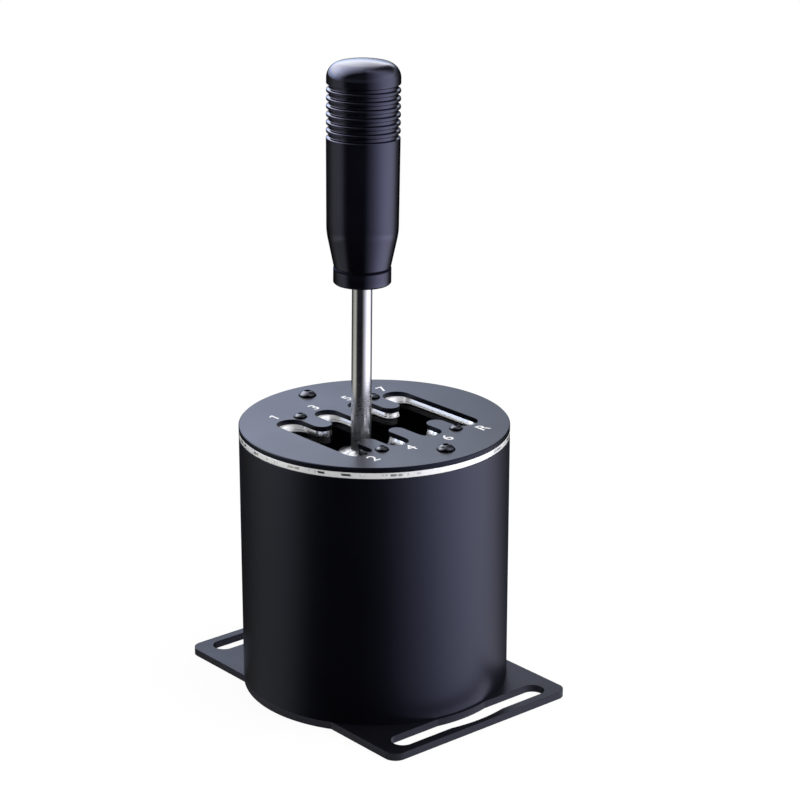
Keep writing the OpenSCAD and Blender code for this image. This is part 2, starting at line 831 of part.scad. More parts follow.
module select_cradle() {
    color(dark_steel) on_lever() difference() {
        union() {
            translate([-cradle_out_x, -cradle_out_y, -cradle_h / 2])
                cube([2 * cradle_out_x, 2 * cradle_out_y, cradle_h]);
            along_y() round_bar(pin_boss_d / 2, -pin_boss_y, pin_boss_y);
            translate([-strap_w / 2, -cradle_out_y, -strap_foot])
                cube([strap_w, 2 * cradle_out_y, strap_foot]);
            translate([-ear_out, -ear_w / 2, -ear_foot]) cube([2 * ear_out, ear_w, ear_t]);
            for (s = [-1, 1]) translate([s * ear_reach, 0, 0])
                round_bar(spigot_d / 2, -ear_foot - spigot_l, 0);
        }
        difference() {
            translate([-cradle_in_x, -cradle_room, -strap_top])
                cube([2 * cradle_in_x, 2 * cradle_room, strap_top + cradle_h]);
            round_bar(guide_r, -strap_foot, -guide_top);
        }
        along_x() round_bar(bush_r + press_gap, -cradle_out_x - over, cradle_out_x + over);
        along_y() round_bar(axle_r + press_gap, -pin_boss_y - over, pin_boss_y + over);
        round_bar(plunger_r + run_gap, -detent_floor, 0);
    }
}

module select_pins() {
    color(steel) on_lever() difference() {
        mirror_copy([0, 1, 0]) along_y() round_bar(axle_r, pin_in_y, pin_out_y);
        along_y() round_bar(magnet_d / 2 + press_gap, pin_out_y - magnet_t - press_gap, pin_out_y + over);
    }
}

module select_magnet() {
    color(steel) on_lever() along_y() round_bar(magnet_d / 2, pin_out_y - magnet_t, pin_out_y);
}

module shift_bushes() {
    color(bronze) on_lever() mirror_copy([1, 0, 0])
        translate([cradle_in_x, 0, 0]) along_x() flanged_bush(cradle_side_t);
}

// The shift sensor sits on the left ear, against the cradle's side
module shift_sensor() {
    color(black) on_lever() translate([-cradle_out_x, 0, 0])
        rotate([0, -90, 0]) rotate(-90) sensor_case(ear_t - ear_foot + sensor_h / 2);
}

// Detent: a plunger on the cradle that drops into the notches of the hub's cam

module detent_plunger() {
    color(acetal) on_lever() {
        round_bar(plunger_r, -plunger_foot, -plunger_top);
        round_bar(nose_r, -plunger_foot, -plunger_tip - nose_r);
        translate([0, 0, -plunger_tip - nose_r]) sphere(r = nose_r);
    }
}

module detent_spring() {
    color(steel) on_lever() translate([0, 0, -detent_floor + press_gap])
        coil_spring(detent_mean_r, detent_spring_l - 2 * press_gap, detent_coils, detent_wire);
}

// Lever, which turns about X to engage a gear

// The cam's outline across the lever, with a notch for neutral and one for each gear
module cam_2d() {
    reach = 2 * cam_r;
    difference() {
        intersection() {
            circle(r = cam_r);
            polygon([
                [0, 0],
                reach * [-sin(cam_spread), -cos(cam_spread)],
                reach * [sin(cam_spread), -cos(cam_spread)]
            ]);
        }
        for (turn = [-shift_angle, 0, shift_angle])
            rotate(turn) translate([0, notch_depth - cam_r - notch_r]) circle(r = notch_r);
    }
}

module lever_hub() {
    color(steel) on_lever() difference() {
        union() {
            round_bar(hub_r, 0, collar_top);
            along_x() round_bar(hub_boss_d / 2, -hub_boss_l / 2, hub_boss_l / 2);
            translate([-cam_w / 2, 0, 0]) rotate([90, 0, 90]) linear_extrude(cam_w) cam_2d();
            rotate_extrude() polygon([
                [0, collar_top - collar_t],
                [collar_d / 2, collar_top - collar_t],
                [collar_d / 2, collar_top],
                [rod_r, collar_top + collar_cone],
                [0, collar_top + collar_cone]
            ]);
        }
        round_bar(rod_r + press_gap, rod_foot, collar_top + collar_cone + over);
        along_x() round_bar(axle_r + press_gap, -hub_boss_l, hub_boss_l);
        translate([0, 0, set_screw_at]) along_y() round_bar(m4_r + thread_gap, 0, hub_r + over);
    }
}

module hub_set_screw() {
    color(dark_steel) on_lever() translate([0, 0, set_screw_at]) along_y() difference() {
        round_bar(m4_r, rod_r + press_gap, hub_r);
        translate([0, 0, (rod_r + hub_r) / 2]) hex_bar(m3_key, hub_r);
    }
}

module shift_axle() {
    color(steel) on_lever() along_x() difference() {
        round_bar(axle_r, -axle_end, axle_end);
        round_bar(magnet_d / 2 + press_gap, -axle_end - over, -axle_end + magnet_t + press_gap);
    }
}

module shift_magnet() {
    color(steel) on_lever() along_x() round_bar(magnet_d / 2, -axle_end, -axle_end + magnet_t);
}

module lever_rod() {
    color(steel) on_lever() round_bar(rod_r, rod_foot + press_gap, rod_tip);
}

// Points of a round corner at b, on the way up from a to c, for a section of [radius, height]
function steepness(a, b) = atan2(b[0] - a[0], b[1] - a[1]);
function round_corner(a, b, c, r) =
    let (first = steepness(a, b), last = steepness(b, c))
    let (start = b - r * tan((first - last) / 2) * [sin(first), cos(first)])
    [
        for (i = [0 : corner_steps])
            let (turn = first + (last - first) * i / corner_steps)
            start + r * [cos(turn) - cos(first), sin(first) - sin(turn)]
    ];

// Half of the knob's section, from its neck up to its crown
module knob_section() {
    grooves_at = neck_l + taper_l + grip_l;
    neck_r = neck_d / 2;
    knob_r = knob_d / 2;
    taper_foot = [neck_r - neck_step, neck_l];
    shoulder = [grip_foot_d / 2, neck_l + taper_l];
    groove_points = [
        for (i = [0 : groove_count - 1])
            let (z = grooves_at + i * groove_pitch)
            each [
                [knob_r, z],
                [knob_r - groove_depth, z + groove_flank],
                [knob_r - groove_depth, z + groove_pitch - ridge_w - groove_flank],
                [knob_r, z + groove_pitch - ridge_w]
            ]
    ];
    cap_at = grooves_at + groove_count * groove_pitch;
    polygon(concat(
        [[0, 0], [neck_r - neck_chamfer, 0], [neck_r, neck_chamfer], [neck_r, neck_l - neck_step]],
        [taper_foot],
        round_corner(taper_foot, shoulder, [knob_r, grooves_at], shoulder_r),
        groove_points,
        [[knob_r, cap_at], [0, cap_at]]
    ));
    // The cap: a round edge under a slight crown
    cap_top = cap_at + cap_l - crown;
    flat_r = knob_r - cap_r;
    crown_r = (flat_r * flat_r + crown * crown) / (2 * crown);
    translate([0, cap_at]) square([flat_r, cap_l - crown]);
    translate([0, cap_at]) square([knob_r, cap_l - crown - cap_r]);
    translate([flat_r, cap_top - cap_r]) intersection() {
        circle(r = cap_r);
        square([cap_r, cap_r]);
    }
    intersection() {
        translate([0, cap_top + crown - crown_r]) circle(r = crown_r);
        translate([0, cap_top]) square([flat_r, crown]);
    }
}

module knob() {
    color(gloss_black) on_lever() translate([0, 0, knob_at]) difference() {
        rotate_extrude() knob_section();
        round_bar(insert_d / 2 + press_gap, -over, insert_depth);
    }
}

module knob_insert() {
    color(brass) on_lever() translate([0, 0, knob_at]) difference() {
        round_bar(insert_d / 2, 0, insert_l);
        round_bar(rod_r + thread_gap, -over, insert_depth);
    }
}

base_plate();
base_screws();
housing_tube();
support_posts();
buffer_plate();
gate_washers();
wear_plate();
gate_plate();
top_screws();
gate_screws();
gate_nuts();
front_bracket();
rear_bracket();
select_bushes();
select_sensor();
spring_seats();
left_centring_spring();
right_centring_spring();
circuit_board();
board_spacers();
board_screws();
processor_chip();
data_socket();
select_cradle();
select_pins();
select_magnet();
shift_bushes();
shift_sensor();
detent_spring();
detent_plunger();
lever_hub();
hub_set_screw();
shift_axle();
shift_magnet();
lever_rod();
knob();
knob_insert();
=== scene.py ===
"""Looks of the gear shifter: a finish for every CAD node, the finer forms of the steel plate, the knob and
the springs, the gear marks, studio and camera."""

import json
import math

import bmesh
import bpy
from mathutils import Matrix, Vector
from mathutils.geometry import tessellate_polygon

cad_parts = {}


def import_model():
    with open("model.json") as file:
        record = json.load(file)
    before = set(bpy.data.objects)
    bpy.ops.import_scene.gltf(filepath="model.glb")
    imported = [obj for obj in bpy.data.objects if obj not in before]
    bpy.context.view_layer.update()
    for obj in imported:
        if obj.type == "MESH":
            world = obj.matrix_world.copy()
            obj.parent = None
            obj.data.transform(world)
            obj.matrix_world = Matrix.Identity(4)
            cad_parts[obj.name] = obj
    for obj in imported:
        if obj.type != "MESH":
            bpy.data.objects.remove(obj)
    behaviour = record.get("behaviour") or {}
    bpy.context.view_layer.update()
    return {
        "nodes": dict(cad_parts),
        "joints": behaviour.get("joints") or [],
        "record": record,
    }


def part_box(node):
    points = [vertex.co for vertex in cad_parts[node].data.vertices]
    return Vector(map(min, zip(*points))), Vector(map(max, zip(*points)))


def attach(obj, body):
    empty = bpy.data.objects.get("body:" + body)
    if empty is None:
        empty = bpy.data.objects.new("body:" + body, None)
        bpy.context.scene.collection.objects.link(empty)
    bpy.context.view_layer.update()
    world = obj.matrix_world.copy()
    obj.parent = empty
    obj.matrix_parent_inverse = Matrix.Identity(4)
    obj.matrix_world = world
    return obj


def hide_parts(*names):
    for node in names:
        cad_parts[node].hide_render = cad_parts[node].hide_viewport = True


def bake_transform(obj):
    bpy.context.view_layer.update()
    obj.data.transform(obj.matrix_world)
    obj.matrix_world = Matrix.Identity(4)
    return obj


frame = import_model()
NODES = frame["nodes"]

# The camera stands where the photograph was taken from, in metres and degrees
CAMERA_AT = (-0.57615, -0.69606, 0.42226)
CAMERA_PITCH = 18.556
CAMERA_YAW = -40.262
CAMERA_LENS = 108.10
SENSOR = 36.0

# Directions on the floor: towards the camera, and to the right of the picture
YAW = math.radians(CAMERA_YAW)
TO_CAMERA = Vector((math.sin(YAW), -math.cos(YAW), 0.0))
TO_RIGHT = Vector((math.cos(YAW), math.sin(YAW), 0.0))

MM = 0.001
# Heights of the gate plate's top and of the ledge at the knob's neck
GATE_TOP = 110.0 * MM
NECK_LEDGE = 175.4 * MM
# Where the lever's axis passes through the collar under the gate
LEVER_X, LEVER_Y = -8.6 * MM, -2.0 * MM

# Most of a noise lies between these values
NOISE_SPAN = (0.3, 0.7)
NOISE_ROUGHNESS = 0.55
# Edges sharper than this angle, in degrees, stay sharp
SHARP_ANGLE = 35


# Node helpers

class Finish:
    """A material under construction: its node tree, its shader and its object coordinates."""

    def __init__(self, name):
        self.mat = bpy.data.materials.new(name)
        self.mat.use_nodes = True
        self.tree = self.mat.node_tree
        self.shader = self.tree.nodes["Principled BSDF"]
        self.place = self.add("ShaderNodeTexCoord").outputs["Object"]

    def add(self, kind, **settings):
        node = self.tree.nodes.new(kind)
        for key, value in settings.items():
            setattr(node, key, value)
        return node

    def link(self, out, into):
        self.tree.links.new(out, into)

    def set(self, **values):
        for key, value in values.items():
            self.shader.inputs[key.replace("_", " ")].default_value = value

    def stretched(self, scale):
        """The place, scaled along each axis."""
        node = self.add("ShaderNodeMapping")
        node.inputs["Scale"].default_value = scale
        self.link(self.place, node.inputs["Vector"])
        return node.outputs["Vector"]

    def noise(self, scale, place=None, detail=3.0):
        node = self.add("ShaderNodeTexNoise")
        node.inputs["Scale"].default_value = scale
        node.inputs["Detail"].default_value = detail
        node.inputs["Roughness"].default_value = NOISE_ROUGHNESS
        self.link(place or self.place, node.inputs["Vector"])
        return node.outputs["Fac"]

    def range(self, value, low, high, new_low, new_high):
        node = self.add("ShaderNodeMapRange")
        self.link(value, node.inputs["Value"])
        ends = {"From Min": low, "From Max": high, "To Min": new_low, "To Max": new_high}
        for key, number in ends.items():
            node.inputs[key].default_value = number
        return node.outputs["Result"]

    def spread(self, noise, low, high):
        """A noise spread over a range."""
        return self.range(noise, *NOISE_SPAN, low, high)

    def math(self, operation, first, second=None):
        node = self.add("ShaderNodeMath", operation=operation)
        for socket, value in zip(node.inputs, (first, second)):
            if value is None:
                continue
            if isinstance(value, (int, float)):
                socket.default_value = value
            else:
                self.link(value, socket)
        return node.outputs["Value"]

    def blend(self, share, first, second):
        """A colour between two, by a share from 0 to 1."""
        node = self.add("ShaderNodeMix", data_type="RGBA")
        self.link(share, node.inputs["Factor"])
        for socket, colour in zip((node.inputs[6], node.inputs[7]), (first, second)):
            socket.default_value = (*colour, 1.0)
        return node.outputs[2]

    def around(self, axis_x=0.0, axis_y=0.0):
        """(angle, radius, height) about an upright axis."""
        parts = self.add("ShaderNodeSeparateXYZ")
        self.link(self.place, parts.inputs["Vector"])
        x = self.math("SUBTRACT", parts.outputs["X"], axis_x)
        y = self.math("SUBTRACT", parts.outputs["Y"], axis_y)
        angle = self.math("ARCTAN2", y, x)
        squares = self.math("ADD", self.math("MULTIPLY", x, x), self.math("MULTIPLY", y, y))
        radius = self.math("SQRT", squares)
        return angle, radius, parts.outputs["Z"]

    def vector(self, x, y, z):
        node = self.add("ShaderNodeCombineXYZ")
        for socket, value in zip(node.inputs, (x, y, z)):
            if isinstance(value, (int, float)):
                socket.default_value = value
            else:
                self.link(value, socket)
        return node.outputs["Vector"]

    def colour(self, out):
        self.link(out, self.shader.inputs["Base Color"])

    def roughness(self, out):
        self.link(out, self.shader.inputs["Roughness"])

    def bump(self, height, distance, strength=1.0, edge=0.0):
        """Height on the surface, and a worn edge of that radius."""
        node = self.add("ShaderNodeBump")
        if edge:
            rounded = self.add("ShaderNodeBevel", samples=4)
            rounded.inputs["Radius"].default_value = edge
            self.link(rounded.outputs["Normal"], node.inputs["Normal"])
        node.inputs["Strength"].default_value = strength
        node.inputs["Distance"].default_value = distance
        self.link(height, node.inputs["Height"])
        self.link(node.outputs["Normal"], self.shader.inputs["Normal"])


# Mesh helpers

def mesh_object(name, points, faces):
    mesh = bpy.data.meshes.new(name)
    mesh.from_pydata(points, [], faces)
    mesh.update()
    thing = bpy.data.objects.new(name, mesh)
    bpy.context.scene.collection.objects.link(thing)
    return thing


def tidy_normals(thing):
    """Faces outwards, smooth but for true edges."""
    work = bmesh.new()
    work.from_mesh(thing.data)
    bmesh.ops.recalc_face_normals(work, faces=work.faces)
    work.to_mesh(thing.data)
    work.free()
    thing.data.shade_smooth()
    thing.data.set_sharp_from_angle(angle=math.radians(SHARP_ANGLE))


# Finishes

def black_tube():
    """Matte black anodised tube: fine blasted grain, faint drawing lines along it."""
    f = Finish("black_tube")
    f.set(IOR=1.7, Specular_IOR_Level=0.52, Specular_Tint=(0.64, 0.69, 1.0, 1.0))
    lines = f.noise(1.0, f.stretched((260.0, 260.0, 5.0)), detail=2.0)
    cloud = f.noise(22.0, detail=4.0)
    grain = f.noise(2600.0, detail=2.0)
    tone = f.math("ADD", f.math("MULTIPLY", cloud, 0.6), f.math("MULTIPLY", lines, 0.4))
    f.colour(f.blend(f.spread(tone, 0.0, 1.0), (0.0007, 0.0006, 0.0012), (0.0013, 0.0011, 0.0020)))
    f.roughness(f.spread(tone, 0.33, 0.39))
    f.bump(grain, 0.02 * MM, 0.25, edge=0.3 * MM)
    return f.mat


def black_plate():
    """Satin black coating on the base plate: slight orange peel; painted light makes its upright cut edges
    greyer, for the light they catch.
    """
    f = Finish("black_plate")
    f.set(Specular_IOR_Level=0.24, Specular_Tint=(0.60, 0.66, 1.0, 1.0))
    peel = f.noise(900.0, detail=2.0)
    cloud = f.noise(40.0, detail=4.0)
    facing = f.add("ShaderNodeSeparateXYZ")
    f.link(f.add("ShaderNodeNewGeometry").outputs["Normal"], facing.inputs["Vector"])
    # Painted light: the upright faces, the cut edges, are coloured greyer for the light they catch.
    cut = f.range(f.math("ABSOLUTE", facing.outputs["Z"]), 0.3, 0.8, 1.0, 0.0)
    painted_light_on_edges = f.math("MULTIPLY", cut, f.spread(cloud, 0.8, 1.0))
    tone = f.math("ADD", f.spread(cloud, 0.0, 0.1), painted_light_on_edges)
    f.colour(f.blend(tone, (0.0030, 0.0030, 0.0044), (0.022, 0.022, 0.029)))
    f.roughness(f.spread(cloud, 0.30, 0.38))
    f.bump(peel, 0.03 * MM, 0.25, edge=0.4 * MM)
    return f.mat


def gate_black():
    """Satin black anodised gate plate: fine straight brushing under the colour."""
    f = Finish("gate_black")
    f.set(Specular_IOR_Level=0.34, Specular_Tint=(0.56, 0.65, 1.0, 1.0))
    brush = f.noise(1.0, f.stretched((60.0, 3200.0, 60.0)), detail=2.0)
    cloud = f.noise(35.0, detail=4.0)
    tone = f.math("ADD", f.math("MULTIPLY", cloud, 0.7), f.math("MULTIPLY", brush, 0.3))
    f.colour(f.blend(f.spread(tone, 0.0, 1.0), (0.0022, 0.0024, 0.0036), (0.0036, 0.0038, 0.0056)))
    f.roughness(f.spread(tone, 0.27, 0.34))
    f.bump(brush, 0.006 * MM, 0.3, edge=0.2 * MM)
    return f.mat


# Heights of the bright lines on the steel plate's rim and on the walls of its opening
RIM_LINE = 106.9 * MM
WALL_LINE = 106.35 * MM


def polished_steel():
    """Polished plate: satin walls, mirror streaks along the rim and at the driver's ends of the lanes."""
    f = Finish("polished_steel")
    angle, radius, height = f.around()
    parts = f.add("ShaderNodeSeparateXYZ")
    f.link(f.place, parts.inputs["Vector"])
    x, y = parts.outputs["X"], parts.outputs["Y"]

    along_rim = f.vector(f.math("MULTIPLY", angle, 12.0), 0.0, f.math("MULTIPLY", height, 90.0))
    dash = f.noise(1.0, along_rim, detail=2.0)
    off_line = f.math("ABSOLUTE", f.math("SUBTRACT", height, RIM_LINE))
    near_line = f.range(off_line, 0.35 * MM, 0.55 * MM, 1.0, 0.0)
    dash = f.math("MULTIPLY", f.range(dash, 0.49, 0.55, 0.0, 0.95), near_line)
    rim = f.math("MULTIPLY", dash, f.range(radius, 50.0 * MM, 52.0 * MM, 0.0, 1.0))

    bars = f.range(f.noise(1.0, f.stretched((420.0, 420.0, 0.0)), detail=1.0), 0.44, 0.52, 0.0, 1.0)
    ends = f.math("MULTIPLY", bars, f.range(y, -16.0 * MM, -14.0 * MM, 1.0, 0.0))
    first_lane = f.range(x, -16.0 * MM, -12.0 * MM, 1.0, 0.0)
    lane = f.math("MULTIPLY", first_lane, f.range(y, 14.0 * MM, 19.0 * MM, 1.0, 0.0))
    inside = f.range(radius, 45.0 * MM, 47.0 * MM, 1.0, 0.0)
    off_wall_line = f.math("ABSOLUTE", f.math("SUBTRACT", height, WALL_LINE))
    line = f.range(off_wall_line, 0.10 * MM, 0.20 * MM, 0.85, 0.0)
    walls = f.math("MAXIMUM", line, f.math("MAXIMUM", ends, lane))
    mirror = f.math("MAXIMUM", rim, f.math("MULTIPLY", walls, inside))

    cut = f.noise(1.0, f.stretched((300.0, 300.0, 1400.0)), detail=2.0)
    f.colour(f.blend(f.spread(cut, 0.0, 1.0), (0.86, 0.865, 0.88), (0.95, 0.95, 0.955)))
    f.link(f.range(mirror, 0.0, 1.0, 0.35, 1.0), f.shader.inputs["Metallic"])
    f.roughness(f.spread(cut, 0.16, 0.26))
    f.bump(cut, 0.02 * MM, 0.2)
    return f.mat


def rod_steel():
    """Ground and polished rod: fine rings of grinding, dulled where it works in the gate."""
    f = Finish("rod_steel")
    f.set(Metallic=1.0)
    _, _, height = f.around()
    rings = f.noise(1.0, f.stretched((40.0, 40.0, 5200.0)), detail=2.0)
    cloud = f.noise(60.0, detail=3.0)
    worn = f.range(height, 114.0 * MM, 142.0 * MM, 0.14, 0.0)
    f.colour(f.blend(f.spread(cloud, 0.0, 1.0), (0.90, 0.905, 0.91), (0.96, 0.96, 0.965)))
    f.roughness(f.math("ADD", f.spread(rings, 0.13, 0.19), worn))
    f.bump(rings, 0.004 * MM, 0.3)
    return f.mat


def turned_steel():
    """Turned steel: lathe marks round the lever's axis, painted sheen as lighter and darker streaks round it,
    and painted shade that darkens the collar under the gate.
    """
    f = Finish("turned_steel")
    f.set(Metallic=1.0)
    angle, radius, height = f.around(LEVER_X, LEVER_Y)
    # Painted sheen: patches of lighter and darker colour round the axis stand in for the streaky shine of
    # turned steel.
    fan = f.vector(f.math("MULTIPLY", angle, 5.0), f.math("MULTIPLY", radius, 300.0), 0.0)
    painted_sheen_streaks = f.noise(1.0, fan)
    marks = f.noise(1.0, f.vector(0.0, f.math("MULTIPLY", radius, 3600.0), 0.0), detail=2.0)
    # Painted shade: the collar under the gate is coloured darker.
    under_gate = f.range(height, 84.0 * MM, 88.0 * MM, 0.0, 1.0)
    painted_shade_under_gate = f.math("MULTIPLY", under_gate, f.range(radius, 11.0 * MM, 13.0 * MM, 1.0, 0.0))
    tone = f.math("SUBTRACT", f.spread(painted_sheen_streaks, 0.45, 1.0), f.math("MULTIPLY", painted_shade_under_gate, 0.42))
    f.colour(f.blend(tone, (0.06, 0.06, 0.065), (0.78, 0.78, 0.79)))
    f.roughness(f.spread(marks, 0.18, 0.34))
    f.bump(marks, 0.03 * MM, 0.4)
    return f.mat


def black_steel():
    """Black-oxided screws: an oily dark shine, and painted shade that turns the colour black round the foot
    of each head on the gate.
    """
    f = Finish("black_steel")
    f.set(Metallic=1.0)
    mottle = f.noise(700.0, detail=4.0)
    _, _, height = f.around()
    # Painted shade: the colour goes black in a thin band at the gate's top, round the foot of each head on
    # the gate.
    head = f.range(height, GATE_TOP + 0.50 * MM, GATE_TOP + 0.85 * MM, 0.0, 1.0)
    below = f.range(height, GATE_TOP - 1.0 * MM, GATE_TOP - 0.5 * MM, 1.0, 0.0)
    tone = f.math("MULTIPLY", f.spread(mottle, 0.65, 1.0), f.math("MAXIMUM", head, below))
    f.colour(f.blend(tone, (0.002, 0.002, 0.003), (0.125, 0.130, 0.146)))
    f.roughness(f.spread(mottle, 0.14, 0.22))
    f.bump(mottle, 0.02 * MM, 0.2, edge=0.25 * MM)
    return f.mat


def knob_black():
    """Gloss black knob: deep colour, faint handling marks in the shine, and at its neck a rougher ledge with
    painted shade that turns it black.
    """
    f = Finish("knob_black")
    f.set(IOR=1.8, Specular_IOR_Level=0.58, Specular_Tint=(0.66, 0.69, 1.0, 1.0))
    wear = f.noise(90.0, detail=5.0)
    fine = f.noise(1.0, f.stretched((900.0, 900.0, 160.0)), detail=3.0)
    f.colour(f.blend(f.spread(wear, 0.0, 1.0), (0.0012, 0.0011, 0.0022), (0.0022, 0.0020, 0.0036)))
    _, _, height = f.around()
    # Painted shade: at the neck's ledge the knob turns to black metal, which mirrors nothing; the ledge is
    # also rougher.
    off_ledge = f.math("ABSOLUTE", f.math("SUBTRACT", height, NECK_LEDGE))
    ledge = f.range(off_ledge, 0.45 * MM, 0.75 * MM, 1.0, 0.0)
    f.link(f.math("MULTIPLY", ledge, 0.9), f.shader.inputs["Metallic"])
    f.roughness(f.math("ADD", f.spread(wear, 0.10, 0.15), f.math("MULTIPLY", ledge, 0.4)))
    f.bump(fine, 0.006 * MM, 0.3)
    return f.mat


def polymer(name, dark, light, rough):
    """Moulded polymer: fine spark texture."""
    f = Finish(name)
    cloud = f.noise(120.0, detail=4.0)
    spark = f.noise(3000.0, detail=2.0)
    f.colour(f.blend(f.spread(cloud, 0.0, 1.0), dark, light))
    f.roughness(f.spread(spark, rough - 0.06, rough + 0.06))
    f.bump(spark, 0.02 * MM, 0.3)
    return f.mat


def machined(name, dark, light, rough):
    """Machined metal: fine tool marks along one way."""
    f = Finish(name)
    f.set(Metallic=1.0)
    marks = f.noise(1.0, f.stretched((1800.0, 60.0, 240.0)), detail=3.0)
    cloud = f.noise(80.0, detail=4.0)
    f.colour(f.blend(f.spread(cloud, 0.0, 1.0), dark, light))
    f.roughness(f.spread(marks, rough - 0.08, rough + 0.08))
    f.bump(marks, 0.02 * MM, 0.3)
    return f.mat


def circuit():
    """Green solder mask over fine tracks."""
    f = Finish("board")
    cells = f.add("ShaderNodeTexBrick")
    cells.inputs["Scale"].default_value = 420.0
    greens = {"Color1": (0.012, 0.10, 0.045), "Color2": (0.018, 0.13, 0.060), "Mortar": (0.030, 0.19, 0.09)}
    for key, colour in greens.items():
        cells.inputs[key].default_value = (*colour, 1.0)
    f.link(f.place, cells.inputs["Vector"])
    f.colour(cells.outputs["Color"])
    f.roughness(f.spread(f.noise(500.0), 0.28, 0.42))
    return f.mat


def mark_paint():
    """White paint of the gear marks, a little uneven."""
    f = Finish("mark_paint")
    speck = f.noise(900.0, detail=4.0)
    f.colour(f.blend(f.spread(speck, 0.0, 1.0), (0.60, 0.61, 0.62), (0.72, 0.72, 0.73)))
    f.roughness(f.spread(speck, 0.45, 0.60))
    return f.mat


def all_finishes():
    """One finish for each material slot of the record."""
    return {
        "black_plate": black_plate(),
        "black_tube": black_tube(),
        "gate_black": gate_black(),
        "polished_steel": polished_steel(),
        "rod_steel": rod_steel(),
        "turned_steel": turned_steel(),
        "black_steel": black_steel(),
        "black_polymer": polymer("black_polymer", (0.016, 0.016, 0.018), (0.030, 0.030, 0.033), 0.45),
        "white_polymer": polymer("white_polymer", (0.70, 0.70, 0.67), (0.82, 0.82, 0.80), 0.40),
        "knob_black": knob_black(),
        "bracket_metal": machined("bracket_metal", (0.36, 0.37, 0.39), (0.50, 0.51, 0.53), 0.36),
        "bronze": machined("bronze", (0.44, 0.28, 0.12), (0.62, 0.43, 0.20), 0.42),
        "brass": machined("brass", (0.66, 0.48, 0.18), (0.80, 0.63, 0.30), 0.26),
        "spring_steel": machined("spring_steel", (0.42, 0.42, 0.44), (0.62, 0.62, 0.64), 0.28),
        "board": circuit(),
        "chip": polymer("chip", (0.010, 0.010, 0.011), (0.020, 0.020, 0.022), 0.50),
    }


def dress_nodes(finishes):
    """Give every CAD node the finish of its slot."""
    for part in frame["record"]["subparts"]:
        mesh = NODES[part["node"]].data
        mesh.materials.clear()
        mesh.materials.append(finishes[part["material_slot"]])


# Polished plate under the gate

EDGE_STEPS = 5
RIM_EDGE = 0.35 * MM
OPENING_EDGE = 0.25 * MM
OPENING_LEAD = 1.0 * MM
# How the opening's wall curves back
LEAD_CURVE = 1.3
# The first lane lies left of the one, its front end starts at the other, and its sides have this share
FIRST_LANE_X, FRONT_END_Y = -10.0 * MM, 17.0 * MM
FIRST_LANE_SHARE = 0.3
# Points and heights nearer than these are the same
SAME_POINT, SAME_HEIGHT = 1e-7, 1e-6
# Limit to how far an inset corner is drawn out
LEAST_COSINE = 0.5


def outline(node):
    """The closed outlines of a node's lowest face, outer one first, as lists of (x, y)."""
    work = bmesh.new()
    work.from_mesh(NODES[node].data)
    bmesh.ops.remove_doubles(work, verts=work.verts, dist=SAME_POINT)
    low = min(v.co.z for v in work.verts)
    flat = [f for f in work.faces if all(abs(v.co.z - low) < SAME_HEIGHT for v in f.verts)]
    lowest = set(flat)
    after = {}
    for face in flat:
        for loop in face.loops:
            if sum(f in lowest for f in loop.edge.link_faces) == 1:
                after[loop.vert.index] = loop.link_loop_next.vert.index
    work.verts.ensure_lookup_table()
    loops = []
    while after:
        start, at = after.popitem()
        ring = [start]
        while at != start:
            ring.append(at)
            at = after.pop(at)
        loops.append([work.verts[i].co.xy.copy() for i in ring])
    work.free()
    return sorted(loops, key=lambda ring: -max(p.length for p in ring))


def inset(ring, step):
    """The ring moved into the material by step(point). The lowest face winds clockwise seen from above."""
    moved = []
    for i, point in enumerate(ring):
        before = (point - ring[i - 1]).normalized()
        ahead = (ring[(i + 1) % len(ring)] - point).normalized()
        way = (before + ahead).normalized()
        side = Vector((way.y, -way.x))
        moved.append(point + side * (step(point) / max(LEAST_COSINE, way.dot(ahead))))
    return moved


def ring_length(ring):
    return sum((ring[i] - ring[i - 1]).length for i in range(len(ring)))


def rounded_rim(low, high, edge):
    """Steps (inset, height) up an upright wall with two rounded edges."""
    steps = []
    for i in range(EDGE_STEPS + 1):
        turn = math.pi / 2 * i / EDGE_STEPS
        steps.append((edge * (1 - math.sin(turn)), low + edge * (1 - math.cos(turn))))
    return steps + [(step, low + high - z) for step, z in reversed(steps)]


def polished_opening(low, high, edge, lead):
    """Steps (inset, height) up a wall that leans back to its top, as polishing leaves it."""
    steps = rounded_rim(low, low + 2 * edge, edge)[:EDGE_STEPS + 1]
    for i in range(1, EDGE_STEPS + 1):
        share = i / EDGE_STEPS
        steps.append((lead * share ** LEAD_CURVE, low + edge + (high - low - edge) * share))
    return steps


def lofted_plate(name, rings, profiles, eases):
    """A plate on closed outlines, each with a wall profile and an ease, the insets' share by place."""
    points, faces = [], []
    floors, roofs = [], []
    for ring, profile, ease in zip(rings, profiles, eases):
        size = len(ring)
        first = len(points)
        for level, (step, z) in enumerate(profile):
            flat = inset(ring, lambda point: step * ease(point))
            keyed = [(Vector((p.x, p.y, z)), len(points) + i) for i, p in enumerate(flat)]
            points += [at for at, _ in keyed]
            if level == 0:
                floors.append(keyed)
        roofs.append(keyed)
        for level in range(len(profile) - 1):
            for i in range(size):
                a = first + level * size + i
                b = first + level * size + (i + 1) % size
                faces.append((a, a + size, b + size, b))
    for loops in (floors, roofs):
        keys = [key for loop in loops for _, key in loop]
        for tri in tessellate_polygon([[at for at, _ in loop] for loop in loops]):
            faces.append(tuple(keys[i] for i in tri))
    plate = mesh_object(name, points, faces)
    tidy_normals(plate)
    return plate


def full(_point):
    """The whole inset, at any place."""
    return 1.0


def less_by_first_lane(point):
    """The first lane's sides were polished least."""
    return FIRST_LANE_SHARE if point.x < FIRST_LANE_X and point.y < FRONT_END_Y else 1.0


